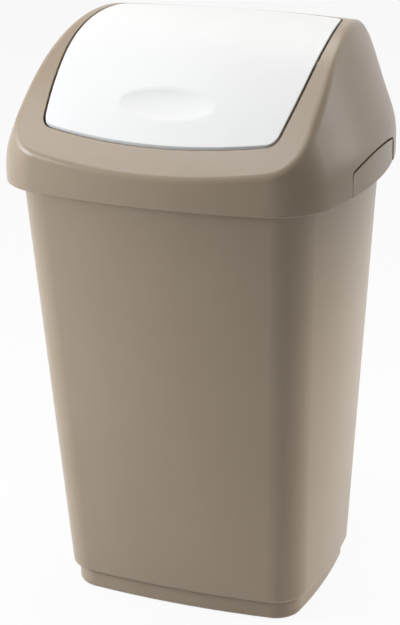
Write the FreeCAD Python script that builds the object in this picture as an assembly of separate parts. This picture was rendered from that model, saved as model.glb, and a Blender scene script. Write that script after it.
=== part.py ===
import FreeCAD, Part
import os
from math import asin, cos, degrees, radians, sin, sqrt, tan

from FreeCAD import Vector

# A kitchen swing bin: a tapered tub, a lift-off hood with an arched top, and a flap that
# swings in the hood on two push-in pins. Sizes are in millimetres. The origin is at the middle
# of the base, +Z is up, the front is towards -Y and +X is to the right of the front.

# Hood skirt, the widest outline of the bin: a rectangle with bowed sides and round corners
SKIRT_WIDTH = 340.0
SKIRT_DEPTH = 296.0
SKIRT_FRONT_BOW_R = 590.0
SKIRT_SIDE_BOW_R = 349.0
SKIRT_CORNER_R = 56.0
SKIRT_BOTTOM_Z = 425.0

# Hood cheeks: upright at the skirt, then bent inwards to a steady lean, while each section lies
# further back than the one below it by the sweep's share of its rise
CHEEK_BEND_Z = 438.0
CHEEK_BEND_R = 80.0
CHEEK_LEAN = 21.0
CHEEK_SWEEP = 0.06

# Hood arch, seen from the side: front slope, crest, rear corner and rear wall
CREST_Y = 46.0
CREST_Z = 556.8
CREST_R = 180.0
FRONT_SLOPE_R = 530.0
FRONT_BLEND_ANGLE = 31.0
REAR_BLEND_ANGLE = 14.5
REAR_CORNER_R = 42.0
REAR_WALL_LEAN = 28.0
ARCH_CROWN_R = 2600.0

# Hood moulding
HOOD_WALL = 2.2
HOOD_EDGE_R = 9.0
SKIRT_EDGE_R = 0.8
MOUTH_EDGE_R = 0.6
MOUTH_FLANGE_DEPTH = 7.0
MOUTH_FLANGE_WALL = 2.0
BEARING_BOSS_R = 7.5
BEARING_WALL = 5.0
SEAT_RIB_WALL = 2.4
SEAT_RIB_REACH = 14.0
SEAT_RIB_HEIGHT = 16.0
SEAT_RIB_SPREAD = 150.0
SEAT_CLEARANCE = 0.2

# Swing flap: a bowed rectangle in plan, flush with the arch
FLAP_WIDTH = 238.5
FLAP_DEPTH = 205.5
FLAP_CENTRE_Y = -19.75
FLAP_FRONT_BOW_R = 530.0
FLAP_SIDE_BOW_R = 440.0
FLAP_CORNER_R = 11.0
FLAP_WALL = 2.2
FLAP_EDGE_R = 0.8
FLAP_GAP = 2.0
FLAP_RIB_INSET = 6.0
FLAP_RIB_WALL = 2.0
FLAP_RIB_DEPTH = 12.0

# Finger scoop pressed into the front of the flap
SCOOP_Y = -88.0
SCOOP_WIDTH = 94.0
SCOOP_LENGTH = 37.0
SCOOP_DEPTH = 3.2
SCOOP_RIM_R = 12.0

# Flap pivot: two headed pins pushed outwards through lugs on the flap into the hood
PIVOT_DROP = 6.9
PIN_R = 3.2
PIN_HEAD_R = 4.3
PIN_HEAD_THICKNESS = 2.5
PIN_TIP_CHAMFER = 0.8
PIN_PRESS_CLEARANCE = 0.02
PIN_RUNNING_CLEARANCE = 0.05
LUG_R = 6.5
LUG_WALL = 4.0

# Tub
TUB_HEIGHT = 446.0
TUB_TOP_WIDTH = 312.2
TUB_TOP_DEPTH = 269.2
TUB_TOP_FRONT_BOW_R = 574.0
TUB_TOP_SIDE_BOW_R = 333.0
TUB_TOP_CORNER_R = 41.0
TUB_STEP_Z = 21.0
TUB_STEP_WIDTH = 250.0
TUB_STEP_DEPTH = 188.0
TUB_STEP_FRONT_BOW_R = 854.0
TUB_STEP_SIDE_BOW_R = 562.0
TUB_STEP_CORNER_R = 32.0
TUB_STEP_EDGE_R = 4.5
TUB_WALL = 2.2
PLINTH_INSET = 5.8
PLINTH_EDGE_R = 6.5
FOOT_WIDTH = 12.0
FOOT_HEIGHT = 3.0
FLOOR_THICKNESS = 2.4

# Tub rim, with a carrying grip in the middle of each side
RIM_WALL = 2.4
RIM_LIP_DEPTH = 11.0
RIM_TO_SKIRT = 1.2
RIM_EDGE_R = 1.6
GRIP_LENGTH = 118.0
GRIP_CORNER_R = 4.0
GRIP_RISE = 7.0
GRIP_RECESS = 0.8
GRIP_END_GAP = 2.5
GRIP_TOP_GAP = 1.8

# Spare reach that carries a cutting or trimming solid past the faces that it cuts
PAST = 5.0
# Depth of overlap between features of one moulding before they are joined
BITE = 1.0
# Faces that meet at a smaller angle than this, in degrees, count as one smooth surface
SMOOTH_ANGLE = 8.0
# Cross-sections that the cheeks are lofted through, on their bend and on the lean above it
BEND_STEPS = 4
LEAN_STEPS = 3


def unit(vector):
    return vector * (1.0 / vector.Length)


class Outline:
    """A rectangle in plan with bowed sides and round corners, made of eight tangent arcs."""

    def __init__(self, width, depth, front_bow_r, side_bow_r, corner_r, centre_y=0.0):
        self.half_w = width / 2
        self.half_d = depth / 2
        self.front_r = front_bow_r
        self.side_r = side_bow_r
        self.corner_r = corner_r
        self.centre_y = centre_y

    def inset(self, distance):
        """The parallel outline, inwards by distance, or outwards where distance is negative."""
        return Outline(2 * (self.half_w - distance), 2 * (self.half_d - distance),
                       self.front_r - distance, self.side_r - distance,
                       self.corner_r - distance, self.centre_y)

    def narrowed(self, half_w, set_back):
        """The same outline with another width, set back towards the rear."""
        return Outline(2 * half_w, 2 * self.half_d, self.front_r, self.side_r,
                       self.corner_r, self.centre_y + set_back)

    def corner_points(self):
        """Start, middle and end of the front right corner arc, about the outline's centre."""
        front_centre = Vector(0, self.front_r - self.half_d, 0)
        side_centre = Vector(self.half_w - self.side_r, 0, 0)
        front_reach = self.front_r - self.corner_r
        side_reach = self.side_r - self.corner_r
        between = side_centre - front_centre
        along = (front_reach**2 - side_reach**2 + between.Length**2) / (2 * between.Length)
        across = sqrt(front_reach**2 - along**2)
        direction = unit(between)
        normal = Vector(direction.y, -direction.x, 0)
        foot = front_centre + direction * along
        centre = max(foot + normal * across, foot - normal * across, key=lambda p: p.x - p.y)
        start = front_centre + unit(centre - front_centre) * self.front_r
        end = side_centre + unit(centre - side_centre) * self.side_r
        middle = centre + unit((start + end) * 0.5 - centre) * self.corner_r
        return start, middle, end

    def wire(self, z):
        points = self.corner_points()

        def corner(side_x, side_y):
            return [Vector(side_x * p.x, -side_y * p.y + self.centre_y, z) for p in points]

        def middle(x, y):
            return Vector(x, y + self.centre_y, z)

        front_right = corner(1, -1)
        rear_right = corner(1, 1)
        rear_left = corner(-1, 1)
        front_left = corner(-1, -1)
        arcs = [
            (front_left[0], middle(0, -self.half_d), front_right[0]),
            front_right,
            (front_right[2], middle(self.half_w, 0), rear_right[2]),
            rear_right[::-1],
            (rear_right[0], middle(0, self.half_d), rear_left[0]),
            rear_left,
            (rear_left[2], middle(-self.half_w, 0), front_left[2]),
            front_left[::-1],
        ]
        return Part.Wire([Part.Arc(*arc).toShape() for arc in arcs])

    def prism(self, z_low, z_high):
        return Part.Face(self.wire(z_low)).extrude(Vector(0, 0, z_high - z_low))

    def edge_x(self, y):
        """Half width where the side arc passes y."""
        rise = y - self.centre_y
        return self.half_w - self.side_r + sqrt(self.side_r**2 - rise**2)


SKIRT = Outline(SKIRT_WIDTH, SKIRT_DEPTH, SKIRT_FRONT_BOW_R, SKIRT_SIDE_BOW_R, SKIRT_CORNER_R)
FLAP = Outline(FLAP_WIDTH, FLAP_DEPTH, FLAP_FRONT_BOW_R, FLAP_SIDE_BOW_R, FLAP_CORNER_R, FLAP_CENTRE_Y)
TUB_STEP = Outline(TUB_STEP_WIDTH, TUB_STEP_DEPTH, TUB_STEP_FRONT_BOW_R, TUB_STEP_SIDE_BOW_R,
                   TUB_STEP_CORNER_R)
TUB_TOP = Outline(TUB_TOP_WIDTH, TUB_TOP_DEPTH, TUB_TOP_FRONT_BOW_R, TUB_TOP_SIDE_BOW_R,
                  TUB_TOP_CORNER_R)
PLINTH = TUB_STEP.inset(PLINTH_INSET)
GRIP = SKIRT.inset(GRIP_RECESS)
RIM = SKIRT.inset(HOOD_WALL + RIM_TO_SKIRT)


def box(x0, x1, y0, y1, z0, z1):
    return Part.makeBox(x1 - x0, y1 - y0, z1 - z0, Vector(x0, y0, z0))


def rod(radius, x0, x1, y, z):
    """A cylinder along X."""
    low = min(x0, x1)
    return Part.makeCylinder(radius, abs(x1 - x0), Vector(low, y, z), Vector(1, 0, 0))


def middle_of(edge):
    return edge.valueAt((edge.FirstParameter + edge.LastParameter) / 2)


def sharp_edges(shape):
    """Edges where the faces on both sides don't run smoothly into each other."""
    found = []
    for edge in shape.Edges:
        faces = shape.ancestorsOfType(edge, Part.Face)
        if len(faces) == 2:
            point = middle_of(edge)
            normals = [face.normalAt(*face.Surface.parameter(point)) for face in faces]
            if normals[0].getAngle(normals[1]) > radians(SMOOTH_ANGLE):
                found.append(edge)
    return found


def one_solid(shape):
    """The single solid that a finished piece is made of."""
    clean = shape.removeSplitter()
    solids = clean.Solids
    if len(solids) != 1:
        raise ValueError("a piece came out as %d solids" % len(solids))
    return solids[0]


def cheek_section(z):
    """Outline of the hood at height z, where its cheeks aren't cut by the arch."""
    lean = radians(CHEEK_LEAN)
    rise = max(z - CHEEK_BEND_Z, 0)
    bent = min(rise, CHEEK_BEND_R * sin(lean))
    bend_inwards = CHEEK_BEND_R - sqrt(CHEEK_BEND_R**2 - bent**2)
    lean_inwards = (rise - bent) * tan(lean)
    return SKIRT.narrowed(SKIRT.half_w - bend_inwards - lean_inwards, rise * CHEEK_SWEEP)


def cheek_body(inset, z_low):
    """Solid inside the hood's skirt and cheeks, closed above the crest."""
    bend_rise = CHEEK_BEND_R * sin(radians(CHEEK_LEAN))
    bend_top = CHEEK_BEND_Z + bend_rise
    top = CREST_Z + PAST
    levels = [z_low, CHEEK_BEND_Z]
    levels += [CHEEK_BEND_Z + bend_rise * (step + 1) / BEND_STEPS for step in range(BEND_STEPS)]
    levels += [bend_top + (top - bend_top) * (step + 1) / LEAN_STEPS for step in range(LEAN_STEPS)]
    return Part.makeLoft([cheek_section(z).inset(inset).wire(z) for z in levels], True, False)


def arch_centre(radius, blend):
    """Centre of an arc of the arch, which touches the crest arc at the blend angle."""
    slack = CREST_R - radius
    return Vector(0, CREST_Y - slack * sin(radians(blend)), CREST_Z - CREST_R + slack * cos(radians(blend)))


def arch_body(depth):
    """Solid under the arch, or under its parallel surface at that depth below it."""
    front_reach = arch_centre(FRONT_SLOPE_R, FRONT_BLEND_ANGLE).y + SKIRT.half_d + 2 * PAST
    front_end = degrees(asin(front_reach / FRONT_SLOPE_R))
    spans = [(FRONT_SLOPE_R, FRONT_BLEND_ANGLE, front_end, FRONT_BLEND_ANGLE),
             (CREST_R, 0, FRONT_BLEND_ANGLE, -REAR_BLEND_ANGLE),
             (REAR_CORNER_R, -REAR_BLEND_ANGLE, -REAR_BLEND_ANGLE, REAR_WALL_LEAN - 90)]
    edges = []
    for radius, blend, start, end in spans:
        points = [arch_centre(radius, blend)
                  + Vector(0, -sin(radians(angle)), cos(radians(angle))) * (radius - depth)
                  for angle in (start, (start + end) / 2, end)]
        edges.append(Part.Arc(*points).toShape())
    front_foot = edges[0].Vertexes[0].Point
    rear_top = edges[-1].Vertexes[-1].Point
    floor_z = min(SKIRT_BOTTOM_Z, front_foot.z) - 2 * PAST
    rear_foot = Vector(0, rear_top.y + (rear_top.z - floor_z) * tan(radians(REAR_WALL_LEAN)), floor_z)
    front_floor = Vector(0, front_foot.y, floor_z)
    edges.append(Part.makeLine(rear_top, rear_foot))
    edges.append(Part.makeLine(rear_foot, front_floor))
    edges.append(Part.makeLine(front_floor, front_foot))
    profile = Part.Face(Part.Wire(edges))
    half_turn = degrees((SKIRT.half_w + PAST) / (ARCH_CROWN_R - CREST_Z + SKIRT_BOTTOM_Z))
    axis_point = Vector(0, 0, CREST_Z - ARCH_CROWN_R)
    profile.rotate(axis_point, Vector(0, 1, 0), -half_turn)
    return profile.revolve(axis_point, Vector(0, 1, 0), 2 * half_turn)


def arch_z(x, y):
    """Height of the arch's outer surface on the crest arc or the front slope."""
    radius = CREST_R
    centre = arch_centre(CREST_R, 0)
    if y < CREST_Y - CREST_R * sin(radians(FRONT_BLEND_ANGLE)):
        radius = FRONT_SLOPE_R
        centre = arch_centre(FRONT_SLOPE_R, FRONT_BLEND_ANGLE)
    middle_z = centre.z + sqrt(radius**2 - (y - centre.y)**2)
    crown = middle_z - (CREST_Z - ARCH_CROWN_R)
    return CREST_Z - ARCH_CROWN_R + sqrt(crown**2 - x**2)


def hood_form(inset, z_low, edge_r):
    """Solid form of the hood, inset all round, with its top edge rounded."""
    form = cheek_body(inset, z_low).common(arch_body(inset)).Solids[0]
    top_edges = [edge for edge in sharp_edges(form) if middle_of(edge).z > z_low + BITE]
    return form.makeFillet(edge_r, top_edges).Solids[0]


def arch_edges(shape):
    """Sharp edges of a shape that lie on the arch's outer surface, within the flap's mouth."""
    mouth_depth = FLAP.half_d + FLAP_GAP + BITE
    found = []
    for edge in sharp_edges(shape):
        point = middle_of(edge)
        if abs(point.y - FLAP_CENTRE_Y) < mouth_depth and abs(point.z - arch_z(point.x, point.y)) < BITE / 2:
            found.append(edge)
    return found


def between_depths(shallow, deep):
    """The layer under the arch from one depth to another."""
    return arch_body(shallow).cut(arch_body(deep))


def flap_panel():
    """The flap without its pivot lugs: skin, scoop and a stiffening rib set in from the edge."""
    high = CREST_Z + PAST
    low = SKIRT_BOTTOM_Z
    skin = FLAP.prism(low, high).common(between_depths(0, FLAP_WALL)).Solids[0]
    skin = skin.makeFillet(FLAP_EDGE_R, arch_edges(skin))
    rib_line = FLAP.inset(FLAP_RIB_INSET)
    ring = rib_line.prism(low, high).cut(rib_line.inset(FLAP_RIB_WALL).prism(low, high))
    rib = ring.common(between_depths(FLAP_WALL - BITE, FLAP_WALL + FLAP_RIB_DEPTH))
    panel = skin.fuse(rib)
    hollow = scoop(0)
    dish = scoop(FLAP_WALL).common(arch_body(FLAP_WALL - BITE))
    panel = one_solid(panel.fuse(dish).cut(hollow))
    return one_solid(panel.makeFillet(SCOOP_RIM_R, arch_edges(panel)))


def scoop(grow):
    """An ellipsoid that presses the finger scoop into the flap, grown by the wall behind it."""
    cap = Part.makeSphere(1.0)
    slope = (arch_z(0, SCOOP_Y + BITE) - arch_z(0, SCOOP_Y - BITE)) / (2 * BITE)
    sink = 2 * SCOOP_DEPTH
    stretch = 1 / sqrt(1 - (1 - SCOOP_DEPTH / sink)**2)
    matrix = FreeCAD.Matrix()
    matrix.scale(SCOOP_WIDTH / 2 * stretch + grow, SCOOP_LENGTH / 2 * stretch + grow, sink + grow)
    cap = cap.transformGeometry(matrix)
    angle = FreeCAD.Rotation(Vector(0, 0, 1), Vector(0, -slope, 1))
    normal = angle.multVec(Vector(0, 0, 1))
    centre = Vector(0, SCOOP_Y, arch_z(0, SCOOP_Y)) + normal * (sink - SCOOP_DEPTH)
    cap.Placement = FreeCAD.Placement(centre, angle)
    return cap


def pivot_centre(panel):
    """The pivot stands over the panel's centre of mass, a set drop under the flap's edge."""
    y = panel.CenterOfMass.y
    return y, arch_z(FLAP.edge_x(y), y) - PIVOT_DROP


def swing_flap(panel, pivot_y, pivot_z):
    lug_face = FLAP.inset(FLAP_RIB_INSET).edge_x(pivot_y)
    flap = panel
    for side in (1, -1):
        inner = side * (lug_face - LUG_WALL)
        outer = side * lug_face
        eye = rod(LUG_R, inner, outer, pivot_y, pivot_z)
        web = box(min(inner, outer), max(inner, outer), pivot_y - LUG_R, pivot_y + LUG_R,
                  pivot_z, CREST_Z)
        flap = flap.fuse(eye.fuse(web).common(arch_body(FLAP_WALL - BITE)))
        flap = flap.cut(rod(PIN_R + PIN_PRESS_CLEARANCE, inner - side * PAST, outer + side * PAST,
                            pivot_y, pivot_z))
    return one_solid(flap)


def pivot_pin(side, pivot_y, pivot_z):
    lug_inside = FLAP.inset(FLAP_RIB_INSET).edge_x(pivot_y) - LUG_WALL
    tip = mouth_face(pivot_y) + BEARING_WALL
    shank = rod(PIN_R, side * lug_inside, side * tip, pivot_y, pivot_z)
    head = rod(PIN_HEAD_R, side * (lug_inside - PIN_HEAD_THICKNESS), side * lug_inside, pivot_y, pivot_z)
    pin = shank.fuse(head)
    tip_edges = [edge for edge in pin.Edges if abs(edge.BoundBox.Center.x - side * tip) < PIN_TIP_CHAMFER
                 and edge.BoundBox.XLength < PIN_TIP_CHAMFER]
    return one_solid(pin.makeChamfer(PIN_TIP_CHAMFER, tip_edges))


def mouth_face(y):
    """Half width of the hood's mouth where it passes y."""
    return FLAP.inset(-FLAP_GAP).edge_x(y)


def bearing(side, pivot_y, pivot_z, hood_inside):
    """The boss in the hood that a pivot pin runs in, hung from the arch beside the mouth."""
    inner = side * mouth_face(pivot_y)
    outer = side * (mouth_face(pivot_y) + BEARING_WALL)
    eye = rod(BEARING_BOSS_R, inner, outer, pivot_y, pivot_z)
    web = box(min(inner, outer), max(inner, outer), pivot_y - BEARING_BOSS_R, pivot_y + BEARING_BOSS_R,
              pivot_z, CREST_Z)
    return eye.fuse(web).common(hood_inside)


def seat_ribs(hood_inside):
    """Upright ribs inside the skirt, front and rear, that stand the hood on the tub's rim."""
    low = TUB_HEIGHT + SEAT_CLEARANCE
    high = low + SEAT_RIB_HEIGHT
    ribs = []
    for side in (1, -1):
        x = side * SEAT_RIB_SPREAD / 2
        for end in (1, -1):
            outer = end * SKIRT.half_d
            inner = end * (SKIRT.half_d - SEAT_RIB_REACH - HOOD_WALL)
            ribs.append(box(x - SEAT_RIB_WALL / 2, x + SEAT_RIB_WALL / 2, min(inner, outer),
                            max(inner, outer), low, high))
    return [rib.common(hood_inside) for rib in ribs]


def grip_block(solid, half_length, z_low, z_high, corner_r):
    """A solid trimmed to the grip's length, under the arch of its top and with round upper corners."""
    reach = SKIRT.half_w + 2 * PAST
    corners = [Vector(-reach, y, z) for y, z in ((half_length, z_high), (half_length, z_low),
                                                 (-half_length, z_low), (-half_length, z_high))]
    top = Vector(-reach, 0, z_high + GRIP_RISE)
    edges = [Part.makeLine(start, end) for start, end in zip(corners, corners[1:])]
    edges.append(Part.Arc(corners[-1], top, corners[0]).toShape())
    window = Part.Face(Part.Wire(edges)).extrude(Vector(2 * reach, 0, 0))
    upper = [edge for edge in window.Edges
             if edge.BoundBox.XLength > reach and edge.BoundBox.Center.z > z_high - BITE]
    return solid.common(window.makeFillet(corner_r, upper))


def hood(pivot_y, pivot_z):
    outer = rounded_foot(hood_form(0, SKIRT_BOTTOM_Z, HOOD_EDGE_R), SKIRT_BOTTOM_Z, SKIRT_EDGE_R)
    inner = hood_form(HOOD_WALL, SKIRT_BOTTOM_Z - PAST, HOOD_EDGE_R - HOOD_WALL)
    middle = hood_form(HOOD_WALL / 2, SKIRT_BOTTOM_Z, HOOD_EDGE_R - HOOD_WALL / 2)
    high = CREST_Z + PAST
    mouth = FLAP.inset(-FLAP_GAP)
    mouth_cut = mouth.prism(SKIRT_BOTTOM_Z, high)
    flange_line = mouth.inset(-MOUTH_FLANGE_WALL).prism(SKIRT_BOTTOM_Z, high)
    flange = flange_line.cut(arch_body(HOOD_WALL + MOUTH_FLANGE_DEPTH)).common(middle)
    outer = outer.cut(mouth_cut).Solids[0]
    outer = outer.makeFillet(MOUTH_EDGE_R, arch_edges(outer))
    shell = outer.cut(inner).fuse(flange)
    for side in (1, -1):
        shell = shell.fuse(bearing(side, pivot_y, pivot_z, middle))
    shell = shell.fuse(seat_ribs(middle))
    shell = shell.cut(mouth_cut)
    notch_top = TUB_HEIGHT + GRIP_TOP_GAP
    notch_low = SKIRT_BOTTOM_Z - PAST
    notch = grip_block(SKIRT.inset(-PAST).prism(notch_low, high), GRIP_LENGTH / 2 + GRIP_END_GAP,
                       notch_low, notch_top, GRIP_CORNER_R + GRIP_END_GAP)
    shell = shell.cut(notch)
    reach = mouth_face(pivot_y) + BEARING_WALL + PAST
    shell = shell.cut(rod(PIN_R + PIN_RUNNING_CLEARANCE, -reach, reach, pivot_y, pivot_z))
    return one_solid(shell)


def tub_outline(z):
    """Outline of the tub's outer wall at height z, on its straight taper."""
    share = (z - TUB_STEP_Z) / (TUB_HEIGHT - TUB_STEP_Z)

    def mixed(low, high):
        return low + (high - low) * share

    return Outline(2 * mixed(TUB_STEP.half_w, TUB_TOP.half_w), 2 * mixed(TUB_STEP.half_d, TUB_TOP.half_d),
                   mixed(TUB_STEP.front_r, TUB_TOP.front_r), mixed(TUB_STEP.side_r, TUB_TOP.side_r),
                   mixed(TUB_STEP.corner_r, TUB_TOP.corner_r))


def rounded_foot(solid, z, radius):
    """A solid with the edges of its bottom face at height z rounded."""
    edges = [edge for edge in solid.Edges if abs(edge.BoundBox.ZMax - z) < BITE / 10
             and abs(edge.BoundBox.ZMin - z) < BITE / 10]
    return solid.makeFillet(radius, edges)


def tub_wall(inset, z_low, z_high):
    wires = [tub_outline(z).inset(inset).wire(z) for z in (z_low, z_high)]
    return Part.makeLoft(wires, True, True)


def tub_body():
    wall = rounded_foot(tub_wall(0, TUB_STEP_Z, TUB_HEIGHT), TUB_STEP_Z, TUB_STEP_EDGE_R)
    plinth = rounded_foot(PLINTH.prism(0, TUB_STEP_Z + TUB_WALL), 0, PLINTH_EDGE_R)
    lip_low = TUB_HEIGHT - RIM_LIP_DEPTH
    rim_under = TUB_HEIGHT - RIM_WALL
    rim = RIM.prism(lip_low, TUB_HEIGHT).cut(RIM.inset(RIM_WALL).prism(lip_low, rim_under))
    rim_edges = [edge for edge in rim.Edges if edge.BoundBox.ZMin > TUB_HEIGHT - BITE]
    rim = rim.makeFillet(RIM_EDGE_R, rim_edges)
    half_length = GRIP_LENGTH / 2
    grip_top = TUB_HEIGHT + GRIP_RISE
    grips = grip_block(GRIP.prism(SKIRT_BOTTOM_Z, grip_top), half_length, SKIRT_BOTTOM_Z, TUB_HEIGHT,
                       GRIP_CORNER_R)
    room_low = SKIRT_BOTTOM_Z - PAST
    finger_room = grip_block(GRIP.inset(RIM_WALL).prism(room_low, grip_top), half_length - RIM_WALL,
                             room_low, rim_under, GRIP_CORNER_R - RIM_WALL)
    grip_backs = grip_block(tub_wall(TUB_WALL / 4, rim_under, grip_top), half_length, SKIRT_BOTTOM_Z, TUB_HEIGHT,
                            GRIP_CORNER_R)
    rim = rim.fuse(grips).cut(finger_room).fuse(grip_backs)
    inside = tub_wall(TUB_WALL, TUB_STEP_Z + TUB_WALL, grip_top + PAST)
    floor_z = FOOT_HEIGHT + FLOOR_THICKNESS
    inside = inside.fuse(PLINTH.inset(TUB_WALL).prism(floor_z, TUB_STEP_Z + 2 * TUB_WALL))
    hollow = PLINTH.inset(FOOT_WIDTH).prism(-PAST, FOOT_HEIGHT)
    body = wall.fuse(plinth).fuse(rim).cut(inside).cut(hollow)
    return one_solid(body)


def main():
    os.makedirs("parts", exist_ok=True)
    panel = flap_panel()
    pivot_y, pivot_z = pivot_centre(panel)
    pieces = {
        "tub": tub_body(),
        "hood": hood(pivot_y, pivot_z),
        "swing_flap": swing_flap(panel, pivot_y, pivot_z),
        "pivot_pin_left": pivot_pin(-1, pivot_y, pivot_z),
        "pivot_pin_right": pivot_pin(1, pivot_y, pivot_z),
    }
    for name, shape in pieces.items():
        shape.exportStep("parts/%s.step" % name)
        size = shape.BoundBox
        print(name, shape.isValid(), "volume %.0f" % shape.Volume,
              "box %.2f %.2f %.2f to %.2f %.2f %.2f" % (size.XMin, size.YMin, size.ZMin,
                                                        size.XMax, size.YMax, size.ZMax))
    centre = pieces["swing_flap"].CenterOfMass
    print("pivot y %.3f z %.3f" % (pivot_y, pivot_z), "flap centre y %.3f z %.3f" % (centre.y, centre.z))


main()
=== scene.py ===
# %% [markdown]
# # A kitchen swing bin, dressed and lit
#
# The bin is a tapered tub, an arched hood that lifts off, and a white flap that swings in the
# hood. Its shapes and sizes come from the frame, in metres, with +Z up and the front towards -Y.
# The mouldings could be modelled again here, but the frame's meshes already have their edges and
# rounds, so this lesson keeps them, gives each its finish, and sets up a camera and soft light.

# %% Load the frame
from math import radians

import bpy
from mathutils import Matrix, Vector

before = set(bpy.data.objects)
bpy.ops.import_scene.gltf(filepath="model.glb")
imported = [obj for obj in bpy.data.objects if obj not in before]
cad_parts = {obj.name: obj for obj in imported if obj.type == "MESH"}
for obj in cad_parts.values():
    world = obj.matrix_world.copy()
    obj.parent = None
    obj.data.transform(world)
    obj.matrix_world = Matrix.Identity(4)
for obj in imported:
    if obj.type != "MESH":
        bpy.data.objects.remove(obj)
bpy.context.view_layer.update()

# %% [markdown]
# ## Camera
#
# The picture was taken from a little above, turned to the right of the front. A camera could be
# aimed with a constraint, but three plain angles and a place are easier to read and to adjust:
# the yaw round the bin, the tip downwards and a slight roll. An unturned camera looks straight
# down, so it is first raised by a right angle to look level.

# %% Camera
CAMERA_PLACE = Vector((0.681, -1.678, 0.973))
CAMERA_YAW = radians(22.32)
CAMERA_LEVEL = radians(90)
CAMERA_TIP = radians(21.1)
CAMERA_ROLL = radians(-1.06)
CAMERA_SENSOR = 36.0
CAMERA_LENS = 116.35
MATRIX_SIZE = 4


def add_camera():
    data = bpy.data.cameras.new("view_camera")
    data.sensor_fit = "VERTICAL"
    data.sensor_height = CAMERA_SENSOR
    data.lens = CAMERA_LENS
    camera = bpy.data.objects.new("view_camera", data)
    bpy.context.collection.objects.link(camera)
    yaw = Matrix.Rotation(CAMERA_YAW, MATRIX_SIZE, "Z")
    upright = Matrix.Rotation(CAMERA_LEVEL - CAMERA_TIP, MATRIX_SIZE, "X")
    roll = Matrix.Rotation(CAMERA_ROLL, MATRIX_SIZE, "Z")
    camera.matrix_world = Matrix.Translation(CAMERA_PLACE) @ (yaw @ upright @ roll)
    bpy.context.scene.camera = camera
    return camera


print("camera", add_camera().matrix_world.translation)

# %% [markdown]
# ## Noise for the finishes
#
# Every moulding is plain plastic, so its looks come from small things: a fine grain from the
# mould, a slight cloudiness of the colour, and gloss that isn't quite even. They could be painted
# as pictures on an unwrapped mesh. Noise on Object coordinates needs no unwrapping, and it comes
# at its real scale, because the frame is in metres.

# %% Helpers for node materials
OPAQUE = 1.0
NOISE_LOW = 0.3
NOISE_HIGH = 0.7


def new_material(name):
    material = bpy.data.materials.new(name)
    material.use_nodes = True
    nodes = material.node_tree.nodes
    return material, nodes, material.node_tree.links, nodes["Principled BSDF"]


def add_noise(nodes, links, coordinates, scale, detail):
    noise = nodes.new("ShaderNodeTexNoise")
    noise.inputs["Scale"].default_value = scale
    noise.inputs["Detail"].default_value = detail
    links.new(coordinates.outputs["Object"], noise.inputs["Vector"])
    return noise


def add_range(nodes, links, noise, low, high):
    """Maps a noise from its usual span to the given range."""
    span = nodes.new("ShaderNodeMapRange")
    span.inputs["From Min"].default_value = NOISE_LOW
    span.inputs["From Max"].default_value = NOISE_HIGH
    span.inputs["To Min"].default_value = low
    span.inputs["To Max"].default_value = high
    links.new(noise.outputs["Fac"], span.inputs["Value"])
    return span.outputs["Result"]


print("noise is read from", NOISE_LOW, "to", NOISE_HIGH)

# %% [markdown]
# ## A recipe for moulded plastic
#
# One recipe serves all the mouldings, with its own shades, gloss and grain for each. The colour
# drifts between two close shades, as plastic does where it flowed into the mould, and the
# roughness wanders in a narrow range. The grain could be real relief, but it is far finer than
# the mesh, so a bump carries it.

# %% Recipe for moulded plastic
CLOUD_SCALE = 9.0
CLOUD_DETAIL = 3.0
GLOSS_SCALE = 22.0
GLOSS_DETAIL = 4.0
GRAIN_DETAIL = 2.0
GRAIN_STRENGTH = 1.0
PLASTIC_SPECULAR = 0.40


def add_cloudy_colour(nodes, links, coordinates, dark, light):
    cloud = add_noise(nodes, links, coordinates, CLOUD_SCALE, CLOUD_DETAIL)
    colour = nodes.new("ShaderNodeMix")
    colour.data_type = "RGBA"
    colour.inputs["A"].default_value = (*dark, OPAQUE)
    colour.inputs["B"].default_value = (*light, OPAQUE)
    links.new(add_range(nodes, links, cloud, 0.0, 1.0), colour.inputs["Factor"])
    return colour.outputs["Result"]


def add_grain(nodes, links, coordinates, scale, depth):
    grain = add_noise(nodes, links, coordinates, scale, GRAIN_DETAIL)
    bump = nodes.new("ShaderNodeBump")
    bump.inputs["Strength"].default_value = GRAIN_STRENGTH
    bump.inputs["Distance"].default_value = depth
    links.new(grain.outputs["Fac"], bump.inputs["Height"])
    return bump.outputs["Normal"]


def moulded_plastic(name, dark, light, roughness, grain_scale, grain_depth):
    """Plastic whose colour drifts between two shades, with a fine grain and uneven gloss."""
    material, nodes, links, shader = new_material(name)
    coordinates = nodes.new("ShaderNodeTexCoord")
    colour = add_cloudy_colour(nodes, links, coordinates, dark, light)
    links.new(colour, shader.inputs["Base Color"])
    gloss = add_noise(nodes, links, coordinates, GLOSS_SCALE, GLOSS_DETAIL)
    links.new(add_range(nodes, links, gloss, *roughness), shader.inputs["Roughness"])
    grain = add_grain(nodes, links, coordinates, grain_scale, grain_depth)
    links.new(grain, shader.inputs["Normal"])
    shader.inputs["Specular IOR Level"].default_value = PLASTIC_SPECULAR
    return material


print("plastic recipe with specular level", PLASTIC_SPECULAR)

# %% [markdown]
# ## Taupe of the tub and hood
#
# The tub and the hood are moulded in the same warm grey-brown, with a satin skin. Each could have
# a material of its own, but they come from one batch of plastic, so they share one. Its gloss
# stays in a narrow range, because a wide one shows as blotches on such large plain walls.

# %% Taupe of the tub and hood
TAUPE_DARK = (0.335, 0.255, 0.174)
TAUPE_LIGHT = (0.352, 0.269, 0.186)
TAUPE_ROUGHNESS = (0.30, 0.32)
SATIN_GRAIN = 1400.0
SATIN_GRAIN_DEPTH = 0.00003


def dress(node, material):
    """Gives a node's mesh one material, in place of the frame's own."""
    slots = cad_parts[node].data.materials
    slots.clear()
    slots.append(material)
    print(material.name, "on", node)


taupe = moulded_plastic("taupe_plastic", TAUPE_DARK, TAUPE_LIGHT, TAUPE_ROUGHNESS,
                        SATIN_GRAIN, SATIN_GRAIN_DEPTH)
for node in ("tub", "hood"):
    dress(node, taupe)

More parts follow.
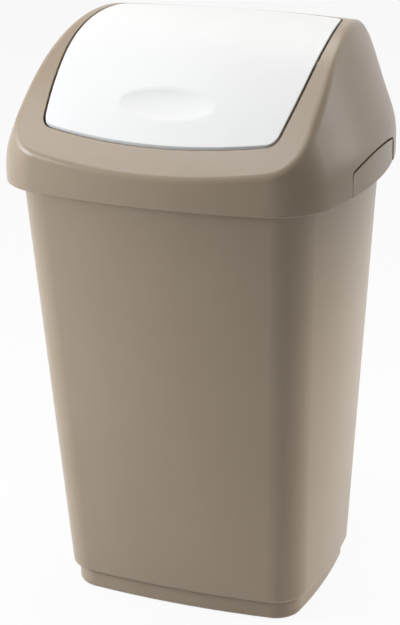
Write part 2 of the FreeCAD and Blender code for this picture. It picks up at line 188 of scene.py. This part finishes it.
# %% [markdown]
# ## White of the flap, natural plastic of the pins
#
# The flap is a smooth white moulding, a touch warm, and the hidden pins are uncoloured plastic.
# White could be written as full white, but then light would leave no shade in the finger scoop,
# so the flap's shades stay below it. Its grain is broader and shallower than that of the tub.

# %% White of the flap, natural plastic of the pins
WHITE_DARK = (0.80, 0.785, 0.745)
WHITE_LIGHT = (0.83, 0.815, 0.775)
WHITE_ROUGHNESS = (0.44, 0.52)
SMOOTH_GRAIN = 500.0
SMOOTH_GRAIN_DEPTH = 0.00001
NATURAL_DARK = (0.62, 0.60, 0.56)
NATURAL_LIGHT = (0.66, 0.64, 0.60)
NATURAL_ROUGHNESS = (0.40, 0.48)

white = moulded_plastic("white_plastic", WHITE_DARK, WHITE_LIGHT, WHITE_ROUGHNESS,
                        SMOOTH_GRAIN, SMOOTH_GRAIN_DEPTH)
natural = moulded_plastic("pin_plastic", NATURAL_DARK, NATURAL_LIGHT, NATURAL_ROUGHNESS,
                          SATIN_GRAIN, SATIN_GRAIN_DEPTH)
dress("swing_flap", white)
for node in ("pivot_pin_left", "pivot_pin_right"):
    dress(node, natural)

# %% [markdown]
# ## Seeing a white backdrop
#
# A studio's sweep of white paper fills the picture behind the bin. It could be made white with
# more light, but that would bleach the bin as well. Here the floor and the world show their own
# white to rays that see them directly, by reflection or through glass, and the light that falls
# on the bin is set apart from it.

# %% Helper for the white backdrop
def seen_directly(nodes, links, share):
    """A factor for rays that see the backdrop: from the camera, by reflection or through glass."""
    path = nodes.new("ShaderNodeLightPath")
    total = nodes.new("ShaderNodeMath")
    total.operation = "ADD"
    links.new(path.outputs["Is Camera Ray"], total.inputs[0])
    links.new(path.outputs["Is Glossy Ray"], total.inputs[1])
    whole = nodes.new("ShaderNodeMath")
    whole.operation = "ADD"
    whole.use_clamp = True
    links.new(total.outputs["Value"], whole.inputs[0])
    links.new(path.outputs["Is Transmission Ray"], whole.inputs[1])
    part = nodes.new("ShaderNodeMath")
    part.operation = "MULTIPLY"
    part.inputs[1].default_value = share
    links.new(whole.outputs["Value"], part.inputs[0])
    return part.outputs["Value"]


def grey(level):
    return (level, level, level, OPAQUE)


# %% [markdown]
# ## Floor
#
# The bin stands on a wide pale floor. It could be a curved sweep, but a plane that meets a world
# of nearly the same white looks the same from every side. Most of what the camera sees of it is
# plain white, and the rest is lit as a real floor is, which keeps the bin's faint shadow.

# %% Floor
FLOOR_SIZE = 12.0
FLOOR_SHADE = 0.60
FLOOR_ROUGHNESS = 0.8
FLOOR_WHITENESS = 0.92


def add_floor():
    bpy.ops.mesh.primitive_plane_add(size=FLOOR_SIZE)
    floor = bpy.context.object
    floor.name = "studio_floor"
    material, nodes, links, shader = new_material("studio_white")
    shader.inputs["Base Color"].default_value = grey(FLOOR_SHADE)
    shader.inputs["Roughness"].default_value = FLOOR_ROUGHNESS
    glow = nodes.new("ShaderNodeEmission")
    mix = nodes.new("ShaderNodeMixShader")
    links.new(seen_directly(nodes, links, FLOOR_WHITENESS), mix.inputs["Fac"])
    links.new(shader.outputs["BSDF"], mix.inputs[1])
    links.new(glow.outputs["Emission"], mix.inputs[2])
    links.new(mix.outputs["Shader"], nodes["Material Output"].inputs["Surface"])
    floor.data.materials.append(material)


add_floor()
print("floor", FLOOR_SIZE, "m wide")

# %% [markdown]
# ## World
#
# Round the bin there is only a little light from everywhere, slightly warm, which lifts the
# darkest places. The world could carry a picture of a studio, but lamps are easier to move one by
# one, so it gives this fill and the white backdrop and nothing more.

# %% World
FILL_LEVEL = 0.04
FILL_TINT = (1.0, 0.97, 0.93)
BACKDROP_SHADE = 0.93
BACKDROP_WHITENESS = 1.0


def set_world():
    world = bpy.data.worlds.new("studio_world")
    bpy.context.scene.world = world
    world.use_nodes = True
    nodes = world.node_tree.nodes
    links = world.node_tree.links
    fill = nodes["Background"]
    fill.inputs["Color"].default_value = (*FILL_TINT, OPAQUE)
    fill.inputs["Strength"].default_value = FILL_LEVEL
    backdrop = nodes.new("ShaderNodeBackground")
    backdrop.inputs["Color"].default_value = grey(BACKDROP_SHADE)
    mix = nodes.new("ShaderNodeMixShader")
    links.new(seen_directly(nodes, links, BACKDROP_WHITENESS), mix.inputs["Fac"])
    links.new(fill.outputs["Background"], mix.inputs[1])
    links.new(backdrop.outputs["Background"], mix.inputs[2])
    links.new(mix.outputs["Shader"], nodes["World Output"].inputs["Surface"])


set_world()
print("world fill", FILL_LEVEL, "backdrop", BACKDROP_SHADE)

# %% [markdown]
# ## Lamps
#
# Large soft lamps give the long even gradients of a studio picture: the left wall is the bright
# one, and the front darkens towards the right corner. One lamp at the left front stands a little
# above the skirt, so that the skirt throws a narrow shadow, and a narrow strip at the right rear
# draws the highlight beside the hood's ridge. Two lamps shine straight down on the floor beside
# the bin. Its walls lean outwards and get little from above, so the light that the pale floor
# sends back up is what brightens them near the ground. A low lamp aimed at the walls could do
# this too, but it would shine under the skirt and take its shadow away.

# %% Helpers for lamps
BIN_MIDDLE = Vector((0.0, 0.0, 0.30))


def add_lamp(name, place, size, watts, tint, target=BIN_MIDDLE):
    data = bpy.data.lights.new(name, "AREA")
    data.shape = "RECTANGLE"
    data.size, data.size_y = size
    data.energy = watts
    data.color = tint
    lamp = bpy.data.objects.new(name, data)
    bpy.context.collection.objects.link(lamp)
    lamp.location = place
    lamp.rotation_euler = (target - Vector(place)).to_track_quat("-Z", "Y").to_euler()
    lamp.visible_camera = False
    print(name, watts, "W")


def add_floor_lamp(name, place, size, watts, tint):
    """A lamp that shines straight down, on the floor below it."""
    across, along, _ = place
    add_lamp(name, place, size, watts, tint, Vector((across, along, 0.0)))


# %% Lamps
NEUTRAL = (1.0, 1.0, 1.0)
FAINTLY_COOL = (0.98, 1.0, 1.04)
COOL = (0.95, 1.0, 1.10)
TUB_FRONT = Vector((-0.05, -0.1, 0.15))

add_lamp("left_softbox", (-1.8, -0.6, 1.1), (1.2, 1.6), 16.0, COOL)
add_lamp("left_front_box", (-1.0, -0.75, 0.72), (0.35, 0.2), 5.5, COOL, TUB_FRONT)
add_floor_lamp("left_floor_lamp", (-1.0, -0.5, 0.6), (0.7, 0.6), 10.5, COOL)
add_lamp("top_softbox", (0.0, -0.1, 2.4), (1.4, 1.4), 14.5, FAINTLY_COOL)
add_lamp("top_left_softbox", (-0.9, -0.5, 2.35), (1.1, 1.1), 15.5, FAINTLY_COOL)
add_lamp("rear_softbox", (0.0, 1.2, 2.2), (1.2, 1.0), 13.0, NEUTRAL)
add_lamp("right_softbox", (1.5, 0.9, 1.0), (1.6, 1.5), 5.5, NEUTRAL)
add_lamp("right_strip", (1.45, 1.3, 0.85), (0.3, 0.7), 2.2, NEUTRAL)
add_floor_lamp("right_floor_lamp", (0.62, 0.20, 0.42), (0.4, 0.4), 4.2, NEUTRAL)

# %% [markdown]
#
# The Standard view transform shows a colour about as it is written. Others roll bright tones off
# as film does, which would turn the white flap grey.

bpy.context.scene.view_settings.view_transform = "Standard"
